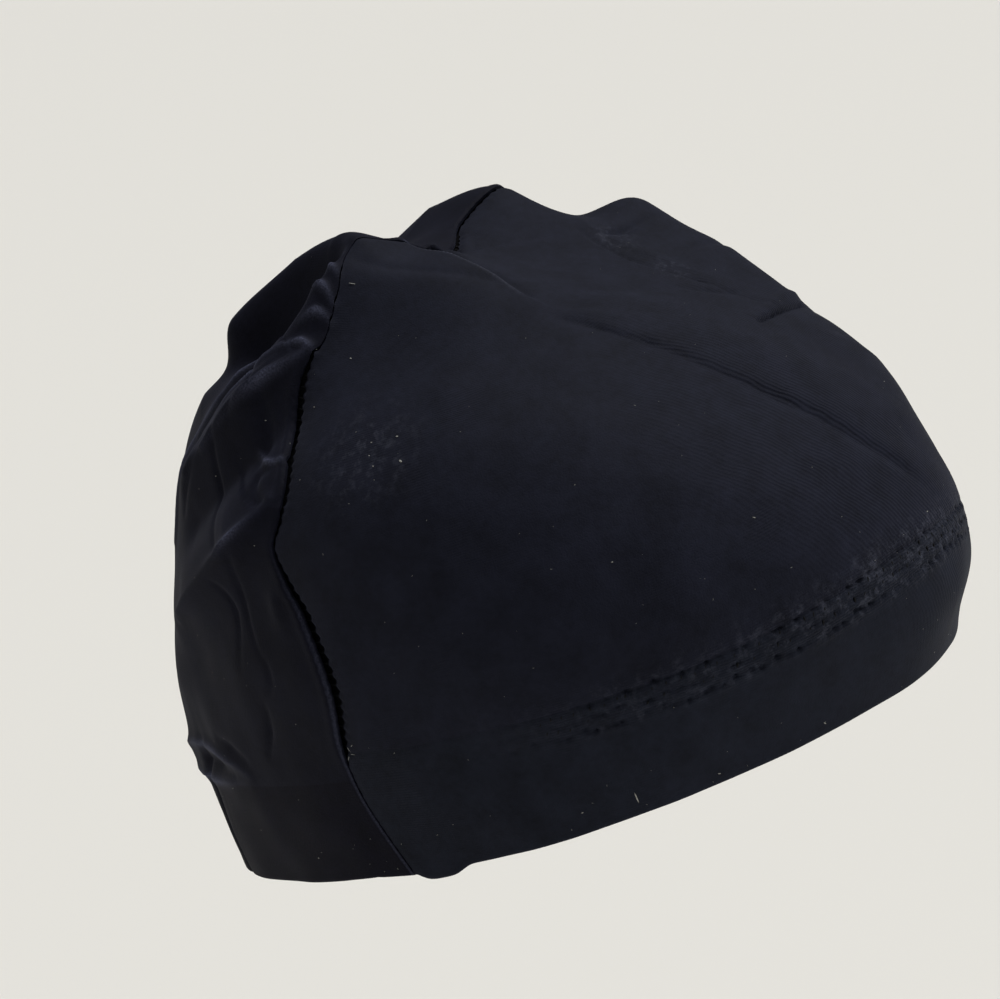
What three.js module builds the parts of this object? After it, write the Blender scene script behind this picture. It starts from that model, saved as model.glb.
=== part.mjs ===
import * as THREE from 'three';

// Wig cap of black stretch knit, in the shape that it has when worn.
// Lengths are in millimetres. +Z is up, the forehead faces -Y and the wearer's right side faces -X.
// The origin is the top of the head, where it touches the inside of the crown.
//
// A place on the cap is an angle and a level. The angle runs from the middle of the forehead
// towards the wearer's right. The level is 0 at the hem and 1 at the crown.

// Driving dimensions
const PANEL_WALL = 1.2;
const BAND_WALL = 1.8;
const PIECE_GAP = 0.3;
const FRONT_BAND = { sideLevel: 0.194, frontLevel: 0.234, peak: 8 };
const NAPE_BAND_LEVEL = 0.15;
const TAB = { angle: 80, width: 3.2, drop: 1.8 };

// How finely each piece is divided
const FRONT_COLUMNS = 46;
const BACK_COLUMNS = 44;
const PANEL_ROWS = 21;
const BAND_ROWS = 3;
const LAST_RING = 0.97;
const CROWDING = 1.25;

const named = (columns, rows) =>
  rows.map((row) => Object.fromEntries(columns.map((column, i) => [column, row[i]])));

// The bare dome: one tilted egg-shaped ring for each row.
// sideZ, frontZ and backZ are the ring's heights, midY is where it is widest, half is its half width
// there, and front and back are how far it reaches ahead of midY and behind it.
const RINGS = named(
  ['level', 'sideZ', 'frontZ', 'backZ', 'midY', 'half', 'front', 'back'],
  [
    [0.00, -120, -84.5, -151, -20, 76.0, 95.0, 84],
    [0.18, -91, -59.5, -119, -18, 80.5, 98.5, 90],
    [0.38, -63, -41.0, -85, -16, 81.5, 90.5, 91],
    [0.58, -36, -24.0, -49, -13, 76.0, 72.5, 81],
    [0.76, -16, -12.5, -20, -9, 57.0, 54.0, 58],
    [0.90, -5, -4.5, -6, -4, 32.0, 32.0, 34],
    [1.00, PANEL_WALL, PANEL_WALL, PANEL_WALL, 0, 0, 0, 0],
  ],
);

// The front of a ring arches up a little more slowly than a flat tilted ring would.
const FRONT_ARCH = 1.15;

// The seam from ear to ear over the crown, on the wearer's right. The left side mirrors it.
const SEAM = named(
  ['level', 'angle'],
  [
    [0.00, 84],
    [0.10, 88],
    [0.20, 89.6],
    [0.30, 89.2],
    [0.41, 92.2],
    [0.46, 94.8],
    [0.512, 97],
    [0.555, 95.7],
    [0.60, 95.6],
    [0.642, 97],
    [0.703, 99.6],
    [0.75, 99.8],
    [0.78, 98.4],
    [0.805, 96.6],
    [0.88, 94.5],
    [1.00, 90],
  ],
);

// Folds laid on the dome. Each crest runs through three places, and rises by the three heights there.
// left and right are the fold's widths on either side of its crest, and a higher power gives a
// blunter crest.
const FOLDS = named(
  ['name', 'angle0', 'level0', 'angle1', 'level1', 'angle2', 'level2',
    'rise0', 'rise1', 'rise2', 'left', 'right', 'power'],
  [
    ['first crown ridge', 34, 0.82, 58, 0.88, 97, 0.89, 1.5, 7, 12, 14, 18, 1.8],
    ['roll behind the seam', 96, 0.885, 101, 0.84, 111, 0.78, 3, 4.5, 2.5, 5, 4.5, 2.0],
    ['hollow under the lobe', 103, 0.885, 115, 0.845, 129, 0.775, -2, -4, -2.5, 5, 5, 1.8],
    ['overhanging lobe', 112, 0.91, 128, 0.88, 137, 0.79, 6, 8.5, 8.5, 6.5, 9, 2.2],
    ['second crown ridge', -24, 0.81, -40, 0.92, -95, 0.95, 1, 5, 10, 15, 13, 1.7],
    ['second ridge behind the seam', -105, 0.95, -140, 0.93, -154, 0.84, 3, 7, 3, 9, 9, 1.9],
    ['third crown ridge', -32, 0.66, -46, 0.77, -64, 0.85, 1.5, 7, 7.5, 13, 12, 2.0],
    ['third ridge behind the seam', -72, 0.85, -100, 0.84, -125, 0.82, 6, 6, 2, 12, 12, 1.8],
    ['long crease over the forehead', 37, 0.83, 18, 0.69, 1, 0.36, -0.8, -1.5, -0.9, 5, 9, 1.4],
    ['swell above the crease', 20, 0.84, 5, 0.70, -8, 0.45, 1, 1.8, 0.8, 12, 12, 1.7],
    ['swell over the left brow', -40, 0.60, -30, 0.52, -18, 0.455, 1.0, 2.9, 0.9, 13, 13, 2.0],
    ['dip above the band', -4, 0.44, -11, 0.405, -20, 0.37, -0.5, -1.2, -0.5, 6, 6, 1.8],
    ['swell of the band', 10, 0.10, -4, 0.11, -25, 0.12, 0.5, 1.6, 1.0, 8, 8, 1.8],
    ['upper fold, right', 101, 0.785, 110, 0.73, 128, 0.595, 2.5, 5, 2.5, 6, 7, 1.7],
    ['swell behind the upper fold', 124, 0.74, 140, 0.69, 150, 0.62, 2, 3.5, 2, 7, 7, 1.8],
    ['valley under the upper fold', 102, 0.69, 110, 0.63, 121, 0.545, -1.5, -3, -2, 6, 7, 1.6],
    ['lower fold, right', 99, 0.585, 105, 0.52, 127, 0.395, 1.8, 4.2, 2, 5, 9, 1.6],
    ['valley under the lower fold', 102, 0.45, 111, 0.40, 122, 0.33, -0.6, -1.2, -0.6, 6, 8, 1.6],
    ['nape fold, right', 134, 0.30, 138, 0.16, 134, 0.02, 2, 3, 1, 12, 12, 1.7],
    ['upper fold, left', -102, 0.78, -116, 0.70, -138, 0.60, 2, 4.5, 3, 9, 7, 1.6],
    ['lower fold, left', -100, 0.58, -113, 0.50, -134, 0.42, 2, 4, 2, 10, 7, 1.6],
    ['nape fold, left', -136, 0.28, -140, 0.15, -136, 0.02, 1.5, 2.5, 1, 12, 12, 1.7],
    ['fold down the middle back', 168, 0.74, 172, 0.52, 166, 0.26, 1.5, 3, 1.5, 11, 11, 1.7],
  ],
);

const radians = THREE.MathUtils.degToRad;

// A smooth curve through the rows' values of one column. endSlope fixes its slope at the last row.
function through(rows, column, level, endSlope = null) {
  const last = rows.length - 1;
  const slopeAt = (i) => {
    if (i === last && endSlope !== null) return endSlope;
    const before = rows[Math.max(i - 1, 0)];
    const after = rows[Math.min(i + 1, last)];
    return (after[column] - before[column]) / (after.level - before.level);
  };
  let i = 0;
  while (i < last - 1 && level > rows[i + 1].level) i += 1;
  const span = rows[i + 1].level - rows[i].level;
  const t = (level - rows[i].level) / span;
  const t2 = t * t;
  const t3 = t2 * t;
  return (2 * t3 - 3 * t2 + 1) * rows[i][column]
    + (t3 - 2 * t2 + t) * span * slopeAt(i)
    + (3 * t2 - 2 * t3) * rows[i + 1][column]
    + (t3 - t2) * span * slopeAt(i + 1);
}

function domePoint(angle, level) {
  const ahead = Math.cos(angle) > 0;
  const sideZ = through(RINGS, 'sideZ', level, 0);
  const endZ = through(RINGS, ahead ? 'frontZ' : 'backZ', level, 0);
  const reach = through(RINGS, ahead ? 'front' : 'back', level);
  const share = Math.abs(Math.cos(angle)) ** (ahead ? FRONT_ARCH : 1);
  return new THREE.Vector3(
    -through(RINGS, 'half', level) * Math.sin(angle),
    through(RINGS, 'midY', level) - reach * Math.cos(angle),
    sideZ + (endZ - sideZ) * share,
  );
}

// The outward direction of a surface given as a function of angle and level.
function outward(pointAt, angle, level) {
  const angleStep = 0.012;
  const levelStep = 0.004;
  const inside = Math.min(level, 1 - 2 * levelStep);
  const up = pointAt(angle, inside + levelStep).sub(pointAt(angle, inside - levelStep));
  const along = pointAt(angle + angleStep, inside).sub(pointAt(angle - angleStep, inside));
  return up.cross(along).normalize();
}

// Each fold with its crest worked out once as a curve on the dome.
const folds = FOLDS.map((fold) => {
  const [from, via, to] = [0, 1, 2].map((k) => domePoint(radians(fold[`angle${k}`]), fold[`level${k}`]));
  const control = via.clone().multiplyScalar(2).sub(from.clone().add(to).multiplyScalar(0.5));
  return { ...fold, crest: new THREE.QuadraticBezierCurve3(from, control, to) };
});

// The place along a crest that is nearest to a point: the best of a few, then refined.
function nearestAlong(crest, point) {
  const coarseSteps = 8;
  const refinements = 4;
  let t = 0;
  let least = Infinity;
  for (let k = 0; k <= coarseSteps; k += 1) {
    const distance = crest.getPoint(k / coarseSteps).distanceToSquared(point);
    if (distance < least) {
      least = distance;
      t = k / coarseSteps;
    }
  }
  for (let k = 0; k < refinements; k += 1) {
    const slope = crest.v1.clone().sub(crest.v0).multiplyScalar(2 * (1 - t))
      .add(crest.v2.clone().sub(crest.v1).multiplyScalar(2 * t));
    const offset = point.clone().sub(crest.getPoint(t));
    t = THREE.MathUtils.clamp(t + offset.dot(slope) / slope.lengthSq(), 0, 1);
  }
  return t;
}

// How far one fold lifts the dome at a point with the given outward direction.
function foldRise(fold, point, normal) {
  const t = nearestAlong(fold.crest, point);
  const offset = point.clone().sub(fold.crest.getPoint(t));
  const distance = offset.length();
  const reach = 3 * Math.max(fold.left, fold.right);
  if (distance > reach) return 0;
  const across = normal.clone().cross(fold.crest.getTangent(t));
  const side = distance > 0 ? THREE.MathUtils.clamp(offset.dot(across) / distance, -1, 1) : 0;
  const width = THREE.MathUtils.lerp(fold.right, fold.left, (1 + side) / 2);
  const height = t < 0.5
    ? THREE.MathUtils.lerp(fold.rise0, fold.rise1, 2 * t)
    : THREE.MathUtils.lerp(fold.rise1, fold.rise2, 2 * t - 1);
  return height * Math.exp(-((distance / width) ** fold.power));
}

// The cap's outer face.
function capPoint(angle, level) {
  const point = domePoint(angle, level);
  const normal = outward(domePoint, angle, level);
  const rise = folds.reduce((sum, fold) => sum + foldRise(fold, point, normal), 0);
  return point.addScaledVector(normal, rise);
}

const seamAngle = (level) => radians(through(SEAM, 'angle', level));

// The turn about the head that moves a place on the dome along its ring by a short length.
function turnFor(length, angle, level) {
  const middle = new THREE.Vector3(0, through(RINGS, 'midY', level), 0);
  const spoke = domePoint(angle, level).sub(middle);
  return length / Math.hypot(spoke.x, spoke.y);
}

// The angles where a piece starts and ends at a level, half a gap short of the seam on either side.
function frontSpan(level) {
  const edge = seamAngle(level) - turnFor(PIECE_GAP / 2, seamAngle(level), level);
  return [-edge, edge];
}

function backSpan(level) {
  const edge = seamAngle(level) + turnFor(PIECE_GAP / 2, seamAngle(level), level);
  return [edge, 2 * Math.PI - edge];
}

// A level moved up the side of the cap by a short length.
function levelPast(level, length) {
  const step = 0.01;
  const rise = domePoint(Math.PI / 2, level + step).distanceTo(domePoint(Math.PI / 2, level));
  return level + (length * step) / rise;
}

// The small tab that hangs below the hem where the front band meets the side seam.
function tabDrop(angle) {
  const away = (Math.abs(THREE.MathUtils.radToDeg(angle)) - TAB.angle) / TAB.width;
  return TAB.drop * Math.exp(-(away ** 4));
}

// The top of the front band, which peaks over the middle of the forehead, and of the nape band.
function frontBandTop(angle) {
  const { sideLevel, frontLevel, peak } = FRONT_BAND;
  return sideLevel + (frontLevel - sideLevel) * Math.cos(angle) ** peak;
}

const napeBandTop = () => NAPE_BAND_LEVEL;

// A cloth wall as one closed solid: an outer grid of points, the same grid one wall further in,
// and strips that close the edges. levelAt gives a place's own level from its ring's level and its
// angle. With a crown, the last ring closes on a single point.
function clothWall({ levels, levelAt, span, columns, wall, crown = null, hem = null }) {
  const outer = [];
  const inner = [];
  levels.forEach((level, row) => {
    const [start, end] = span(level);
    for (let column = 0; column <= columns; column += 1) {
      const angle = THREE.MathUtils.lerp(start, end, column / columns);
      const place = levelAt(level, angle);
      const point = capPoint(angle, place);
      const normal = outward(capPoint, angle, place);
      if (row === 0 && hem) point.z -= hem(angle);
      outer.push(point);
      inner.push(point.clone().addScaledVector(normal, -wall));
    }
  });
  const width = columns + 1;
  const rings = levels.length;
  if (crown) {
    outer.push(crown.clone());
    inner.push(crown.clone().add(new THREE.Vector3(0, 0, -wall)));
  }

  const shift = outer.length;
  const triangles = [];
  const quad = (a, b, c, d) => triangles.push(a, b, c, a, c, d);
  const at = (row, column) => row * width + column;
  const tip = rings * width;

  for (let row = 0; row < rings - 1; row += 1) {
    for (let column = 0; column < columns; column += 1) {
      const corners = [at(row, column), at(row + 1, column), at(row + 1, column + 1), at(row, column + 1)];
      quad(...corners);
      quad(...corners.map((k) => k + shift).reverse());
    }
  }
  for (let column = 0; crown && column < columns; column += 1) {
    triangles.push(at(rings - 1, column), tip, at(rings - 1, column + 1));
    triangles.push(at(rings - 1, column + 1) + shift, tip + shift, at(rings - 1, column) + shift);
  }

  // The rim, followed once round the outer grid with the cloth on its left.
  const rim = [];
  for (let column = 0; column < columns; column += 1) rim.push(at(0, column));
  for (let row = 0; row < rings; row += 1) rim.push(at(row, columns));
  if (crown) rim.push(tip);
  for (let column = columns - 1; !crown && column > 0; column -= 1) rim.push(at(rings - 1, column));
  for (let row = rings - 1; row > 0; row -= 1) rim.push(at(row, 0));
  rim.forEach((here, k) => {
    const next = rim[(k + 1) % rim.length];
    quad(here, next, next + shift, here + shift);
  });

  const geometry = new THREE.BufferGeometry();
  const positions = [...outer, ...inner].flatMap((point) => point.toArray());
  geometry.setAttribute('position', new THREE.Float32BufferAttribute(positions, 3));
  geometry.setIndex(triangles);
  geometry.computeVertexNormals();
  return geometry;
}

// Evenly numbered levels from low to high. A crowding above 1 packs them closer near the top.
function levelsBetween(low, high, rows, crowding = 1) {
  return Array.from({ length: rows + 1 }, (_, row) => high - (high - low) * (1 - row / rows) ** crowding);
}

// Both panels have the same rings from the front panel's foot to the crown, so their edges run side by
// side along the seam. A panel's rings flatten out from its band's line to the crown.
const sharedFoot = levelPast(FRONT_BAND.sideLevel, PIECE_GAP / 2);
const sharedLevels = levelsBetween(sharedFoot, LAST_RING, PANEL_ROWS, CROWDING);

function panel(span, bandTop, columns, crownSide) {
  const side = bandTop(Math.PI / 2);
  const foot = levelPast(side, PIECE_GAP / 2);
  const crown = capPoint(0, 1);
  crown.y += (crownSide * PIECE_GAP) / 2;
  return clothWall({
    levels: foot < sharedFoot ? [foot, ...sharedLevels] : sharedLevels,
    levelAt: (level, angle) => level + ((bandTop(angle) - side) * (LAST_RING - level)) / (LAST_RING - foot),
    span,
    columns,
    wall: PANEL_WALL,
    crown,
  });
}

function band(span, bandTop, columns, hem) {
  const side = bandTop(Math.PI / 2);
  return clothWall({
    levels: levelsBetween(0, levelPast(side, -PIECE_GAP / 2), BAND_ROWS),
    levelAt: (level, angle) => (level * bandTop(angle)) / side,
    span,
    columns,
    wall: BAND_WALL,
    hem,
  });
}

const knit = (color) => new THREE.MeshStandardMaterial({ color, roughness: 0.85, metalness: 0 });

const pieces = [
  ['front_panel', panel(frontSpan, frontBandTop, FRONT_COLUMNS, -1), knit('#1c1f28')],
  ['back_panel', panel(backSpan, napeBandTop, BACK_COLUMNS, 1), knit('#1d1d21')],
  ['front_band', band(frontSpan, frontBandTop, FRONT_COLUMNS, tabDrop), knit('#1b1c24')],
  ['nape_band', band(backSpan, napeBandTop, BACK_COLUMNS, null), knit('#1a1a1f')],
];

const wigCap = new THREE.Group();
for (const [name, geometry, material] of pieces) {
  const mesh = new THREE.Mesh(geometry, material);
  mesh.name = name;
  wigCap.add(mesh);
}

export default wigCap;
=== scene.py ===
import math
from collections import namedtuple

import bpy
import numpy as np
from mathutils import Matrix, Vector


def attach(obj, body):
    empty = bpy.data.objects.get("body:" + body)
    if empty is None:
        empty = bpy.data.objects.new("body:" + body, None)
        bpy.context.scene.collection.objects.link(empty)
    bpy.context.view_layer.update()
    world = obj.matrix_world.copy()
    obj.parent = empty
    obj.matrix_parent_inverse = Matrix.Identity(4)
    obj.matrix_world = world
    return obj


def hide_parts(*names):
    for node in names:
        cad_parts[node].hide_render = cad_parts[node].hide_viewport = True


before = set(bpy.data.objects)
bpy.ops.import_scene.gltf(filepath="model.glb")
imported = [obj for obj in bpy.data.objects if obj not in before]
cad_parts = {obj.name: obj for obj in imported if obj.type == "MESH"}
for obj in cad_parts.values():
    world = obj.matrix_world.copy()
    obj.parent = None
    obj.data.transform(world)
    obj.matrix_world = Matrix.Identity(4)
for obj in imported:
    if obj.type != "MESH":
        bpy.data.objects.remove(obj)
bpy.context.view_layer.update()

# Wig cap of black stretch knit, in the shape that it has when worn.
# Tables and surface functions are in millimetres, meshes in metres. +Z is up, the forehead faces -Y,
# the wearer's right side faces -X, and the origin is the top of the head.
# A place on the cap is an angle and a level. The angle runs from the middle of the forehead towards
# the wearer's right, in degrees in the tables. The level is 0 at the hem and 1 at the crown.

MM = 0.001
LAY, STITCHED, PAINTED_HIGHLIGHT = "lay of the knit", "beside the stitches", "crest_highlight"

PANEL_WALL = 1.2
BAND_WALL = 1.8
BAND_TOP_AT_SIDE = 0.194
BAND_TOP_IN_FRONT = 0.234
BAND_PEAK = 8
NAPE_BAND_LEVEL = 0.15
TAB_ANGLE, TAB_WIDTH, TAB_DROP = 80, 3.2, 1.8

# The bare dome, one tilted egg-shaped ring for each row. middle is where the ring is widest in y,
# half is its half width there, and front and back are how far it reaches ahead of middle and behind.
Ring = namedtuple("Ring", "level side_z front_z back_z middle half front back")
RINGS = [Ring(*row) for row in (
    (0.00, -120, -84.5, -151, -20, 76.0, 95.0, 84),
    (0.18, -91, -59.5, -119, -18, 80.5, 98.5, 90),
    (0.38, -63, -41.0, -85, -16, 81.5, 90.5, 91),
    (0.58, -36, -24.0, -49, -13, 76.0, 72.5, 81),
    (0.76, -16, -12.5, -20, -9, 57.0, 54.0, 58),
    (0.90, -5, -4.5, -6, -4, 32.0, 32.0, 34),
    (1.00, PANEL_WALL, PANEL_WALL, PANEL_WALL, 0, 0, 0, 0),
)]
FRONT_ARCH = 1.15
LAST_RING = 0.994

# The seam from ear to ear over the crown, with its angle from the middle of the forehead on each side.
# Behind the first crown ridge it bends forward before it crosses the crown. right and left are half the
# width of the groove between the two panels, which closes where a ridge leans over it.
SeamPlace = namedtuple("SeamPlace", "level right_angle left_angle right left")
SEAM = [SeamPlace(*row) for row in (
    (0.00, 84.0, 84.0, .12, .12), (0.10, 88.0, 88.0, .12, .12), (0.17, 89.5, 89.5, .15, .15),
    (0.20, 89.6, 89.6, .55, .50), (0.30, 89.2, 89.2, .80, .65), (0.41, 92.2, 92.2, .72, .65),
    (0.46, 94.8, 94.8, .55, .65), (0.512, 97.0, 97.0, .30, .65), (0.555, 95.7, 96.5, .40, .65),
    (0.60, 95.6, 96.4, .52, .65), (0.642, 97.0, 97.0, .62, .65), (0.703, 99.6, 98.5, .78, .65),
    (0.75, 99.8, 99.5, .66, .65), (0.78, 98.4, 99.0, .30, .65), (0.805, 96.6, 98.0, .12, .65),
    (0.86, 95.0, 96.0, .10, .60), (0.895, 97.0, 95.0, .10, .55), (0.918, 94.0, 95.2, .12, .50),
    (0.933, 84.0, 95.5, .35, .45), (0.945, 72.0, 96.0, .90, .45), (0.960, 64.5, 96.5, .70, .45),
    (0.98, 61.0, 105.0, .45, .45), (1.00, 60.0, 120.0, .45, .45),
)]

# Folds laid on the dome. A crest runs through three places, each an angle and a level, and rises by
# the three heights there. left and right are the widths on its two sides, and a higher power is blunter.
Fold = namedtuple("Fold", "name start via end rises left right power")
FOLDS = [Fold(*row) for row in (
    ("first crown ridge", (34, .82), (58, .88), (97, .89), (1.5, 7, 12), 14, 18, 1.8),
    ("lip of the first ridge", (93, .905), (78, .945), (58, .93), (1.2, 2.4, 1), 2.4, 3.2, 1.8),
    ("roll behind the seam", (99, .900), (101, .845), (111, .78), (3, 4.5, 2.5), 5, 3.4, 2.0),
    ("hollow under the lobe", (103, .885), (115, .845), (129, .775), (-3, -5, -3.5), 4.5, 4.5, 1.8),
    ("overhanging lobe", (112, .91), (128, .88), (137, .79), (6, 8.5, 8.5), 5.5, 9, 2.2),
    ("second crown ridge", (-24, .81), (-40, .92), (-95, .95), (1, 5, 10), 15, 13, 1.7),
    ("second ridge behind the seam", (-105, .95), (-140, .93), (-154, .84), (3, 7, 3), 9, 9, 1.9),
    ("third crown ridge", (-32, .66), (-46, .77), (-64, .85), (1.5, 7, 7.5), 13, 12, 2.0),
    ("third ridge behind the seam", (-72, .85), (-100, .84), (-125, .82), (6, 6, 2), 12, 12, 1.8),
    ("long valley over the forehead", (37, .83), (18, .69), (1, .36), (-.3, -.6, -.4), 7, 12, 1.3),
    ("swell above the valley", (20, .84), (5, .70), (-8, .45), (1, 1.8, .8), 12, 12, 1.7),
    ("swell over the left brow", (-40, .60), (-30, .52), (-18, .455), (1.0, 2.9, .9), 13, 13, 2.0),
    ("dip above the band", (-4, .44), (-11, .405), (-20, .37), (-.5, -1.2, -.5), 6, 6, 1.8),
    ("swell of the band", (10, .10), (-4, .11), (-25, .12), (.5, 1.6, 1.0), 8, 8, 1.8),
    ("upper fold, right", (101, .785), (110, .73), (129, .595), (2, 4.5, 2.2), 6, 7, 1.7),
    ("swell behind the upper fold", (124, .74), (140, .69), (150, .62), (2, 3.5, 2), 7, 7, 1.8),
    ("valley under the upper fold", (102, .69), (110, .63), (121, .545), (-1.5, -3, -2), 6, 7, 1.6),
    ("lower fold, right", (99, .585), (105, .52), (127, .395), (1.2, 3.6, 1.8), 5, 9, 1.6),
    ("valley under the lower fold", (102, .45), (111, .40), (122, .33), (-.6, -1.2, -.6), 6, 8, 1.6),
    ("nape fold, right", (134, .30), (138, .16), (134, .02), (2, 3, 1), 12, 12, 1.7),
    ("upper fold, left", (-108, .77), (-118, .70), (-140, .60), (2, 4, 3), 9, 7, 1.6),
    ("lower fold, left", (-102, .56), (-114, .50), (-134, .42), (2, 3.5, 2), 10, 7, 1.6),
    ("nape fold, left", (-136, .28), (-140, .15), (-136, .02), (1.5, 2.5, 1), 12, 12, 1.7),
    ("fold down the middle back", (168, .74), (172, .52), (166, .26), (1.5, 3, 1.5), 11, 11, 1.7),
)]

# The small creases and ridges between those folds, in the same columns.
CREASES = [Fold(*row) for row in (
    ("edge of the first ridge", (96, .932), (62, .915), (40, .855), (.9, 2.1, .7), 1.0, 4.5, 1.5),
    ("lip of that edge", (96, .934), (62, .918), (42, .862), (.3, .6, .2), .8, .8, 1.6),
    ("dip behind that edge", (94, .946), (60, .928), (39, .866), (-.6, -1.6, -.6), 1.4, 1.4, 1.5),
    ("line below that edge", (93, .885), (70, .893), (45, .875), (-.4, -.6, -.25), 1.4, 1.6, 1.5),
    ("crease out of the crown", (66, .958), (8, .966), (-24, .945), (-.8, -.7, -.3), 2.2, 2.2, 1.5),
    ("soft line over the top", (46, .864), (14, .864), (-8, .835), (-.4, -.5, -.3), 3, 3, 1.6),
    ("head of the long crease", (34, .82), (27, .79), (20, .745), (-.3, -.9, -.5), 1.0, 1.4, 1.4),
    ("long crease", (20, .745), (8, .57), (-3, .36), (-.5, -1.25, -.8), 1.3, 1.7, 1.4),
    ("foot of the long crease", (8, .56), (2, .44), (-5, .30), (-.2, -.5, -.2), 1.4, 1.9, 1.5),
    ("lip over the long crease", (36, .84), (27, .82), (17, .79), (.2, .45, .2), 1.6, 1.8, 1.6),
    ("front edge of the third ridge", (-35, .928), (-21, .885), (-21, .80), (-.3, -.6, -.4), .7, .6, 1.5),
    ("its lip", (-42, .925), (-28, .885), (-25, .80), (.4, .8, .5), 2.6, 1.5, 1.6),
    ("end of that edge", (-21, .81), (-22, .75), (-24, .70), (-.5, -.5, -.2), .9, .8, 1.5),
    ("crumple on the third ridge", (-35, .912), (-45, .892), (-55, .853), (-.6, -1.3, -.5), 1.2, 1.5, 1.5),
    ("second crumple", (-12, .82), (-17, .785), (-24, .752), (-.4, -.7, -.3), 1.1, 1.3, 1.5),
    ("third crumple", (-38, .83), (-44, .80), (-50, .76), (-.3, -.7, -.3), 1.3, 1.6, 1.5),
    ("short tuck", (-11, .703), (-22, .69), (-34, .655), (-.8, -1.9, -1.2), .55, .7, 1.6),
    ("lip of the short tuck", (-12, .72), (-25, .706), (-38, .668), (.2, .8, .7), 1.5, 1.5, 1.7),
    ("first pucker", (102, .868), (98.5, .868), (95.5, .862), (.4, 1.2, .4), .8, 1.0, 1.7),
    ("second pucker", (103, .842), (99, .848), (95.5, .838), (.4, 1.3, .5), .8, 1.0, 1.7),
    ("third pucker", (103, .812), (99, .826), (95.5, .822), (.4, 1.2, .4), .8, 1.0, 1.7),
    ("fourth pucker", (106, .782), (101.5, .793), (98, .787), (.4, 1.2, .5), .8, 1.0, 1.7),
    ("thin line beside the roll", (115, .76), (113.5, .73), (115, .69), (-.3, -.8, -.5), .8, .8, 1.5),
    ("crest of the upper fold", (100, .785), (109, .735), (127, .603), (.9, 1.7, .8), 1.2, 3.2, 1.6),
    ("streak on the upper fold", (99.5, .788), (107, .74), (122, .64), (.5, 1.1, .5), .9, .9, 1.6),
    ("streak above it", (105, .79), (115, .745), (127, .66), (.3, .9, .3), .9, .9, 1.6),
    ("streak behind it", (113, .79), (122, .745), (131, .65), (.3, .9, .3), .9, .9, 1.6),
    ("groove between the streaks", (104, .775), (112, .73), (126, .635), (-.3, -.9, -.3), .8, .8, 1.6),
    ("groove behind them", (110, .785), (119, .742), (130, .64), (-.3, -.9, -.3), .8, .8, 1.6),
    ("outer edge of the upper fold", (127, .70), (134, .62), (134, .50), (.6, 1.2, .6), 1.6, 2.4, 1.6),
    ("first wave", (119, .70), (117, .61), (108, .515), (-.2, -.6, -.3), .8, 1.0, 1.6),
    ("second wave", (122, .66), (126, .60), (127, .55), (-.3, -.6, -.3), .9, 1.2, 1.6),
    ("shadowed fold by the seam", (110, .745), (106, .69), (105, .645), (-.4, -.9, -.5), 2.0, 2.4, 1.8),
    ("pinch over the pocket", (107, .655), (102, .642), (98.5, .645), (.4, .9, .6), .9, 1.1, 1.6),
    ("pocket by the seam", (99.5, .635), (103, .612), (99.5, .58), (-.3, -.8, -.3), 1.4, 1.4, 1.8),
    ("crest of the lower fold", (98, .588), (103.5, .527), (124, .405), (.6, 1.5, .8), 1.2, 2.0, 1.5),
    ("streak on the lower fold", (97.5, .592), (103, .535), (123, .415), (.4, 1.1, .5), .9, .9, 1.6),
    ("first crease by the seam", (104, .525), (105, .45), (102, .36), (-.3, -.6, -.2), .7, .9, 1.5),
    ("its lower end", (103, .27), (103.5, .235), (105, .20), (-.3, -.8, -.3), .9, 1.2, 1.5),
    ("second crease by the seam", (110, .465), (107, .42), (107, .34), (-.3, -.6, -.2), .7, .9, 1.5),
    ("upright of the third crease", (101, .35), (100.5, .32), (101.5, .30), (-.2, -.5, -.2), .8, 1.0, 1.5),
    ("oval bump", (97, .45), (97.5, .435), (97, .415), (.5, .8, .5), 2.6, 2.6, 1.8),
    ("first nape pinch", (137, .195), (124, .20), (112, .167), (.8, 1.2, .4), 1.3, 1.7, 1.6),
    ("pit under it", (130, .175), (124, .172), (117, .165), (-.6, -1.4, -.4), 1.6, 1.6, 1.7),
    ("second nape pinch", (137, .152), (127, .148), (113, .157), (.8, .9, .2), 1.4, 1.8, 1.6),
    ("crease above the nape", (120, .218), (116, .207), (112, .188), (-.3, -.8, -.3), 1.1, 1.3, 1.6),
    ("crease before the nape", (128, .20), (131, .11), (128, .005), (-.8, -1.4, -.8), 1.2, 1.6, 1.6),
    ("crease by the seam, left", (-105, .50), (-101, .40), (-102, .26), (-.3, -.9, -.4), 1.3, 1.8, 1.5),
    ("second, left", (-113, .46), (-107, .38), (-108, .28), (-.4, -.9, -.4), 1.3, 1.8, 1.5),
    ("wave, left", (-120, .68), (-109, .60), (-104, .52), (-.4, -1.0, -.5), 1.8, 2.4, 1.6),
    ("crest of the upper fold, left", (-102, .79), (-112, .725), (-134, .61), (.6, 1.6, .8), 3.2, 1.8, 1.5),
    ("crest of the lower fold, left", (-100, .59), (-108, .515), (-128, .42), (.4, 1.3, .5), 2.6, 1.8, 1.5),
    ("crease down the back", (150, .78), (154, .60), (150, .40), (-.4, -1.1, -.4), 1.8, 2.4, 1.5),
    ("crease beside the middle fold", (-172, .76), (-166, .56), (-170, .36), (-.4, -1.2, -.4), 1.8, 2.4, 1.5),
    ("nape pinch, left", (-131, .21), (-124, .20), (-116, .18), (.8, 1.2, .4), 1.6, 1.8, 1.6),
)]

# Crests that carry a painted highlight along them
HIGHLIGHTED_CRESTS = (
    "streak on the upper fold", "streak above it", "streak behind it", "streak on the lower fold",
    "outer edge of the upper fold", "pinch over the pocket", "first nape pinch", "second nape pinch",
    "first pucker", "second pucker", "third pucker", "fourth pucker", "lip of that edge",
)

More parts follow.
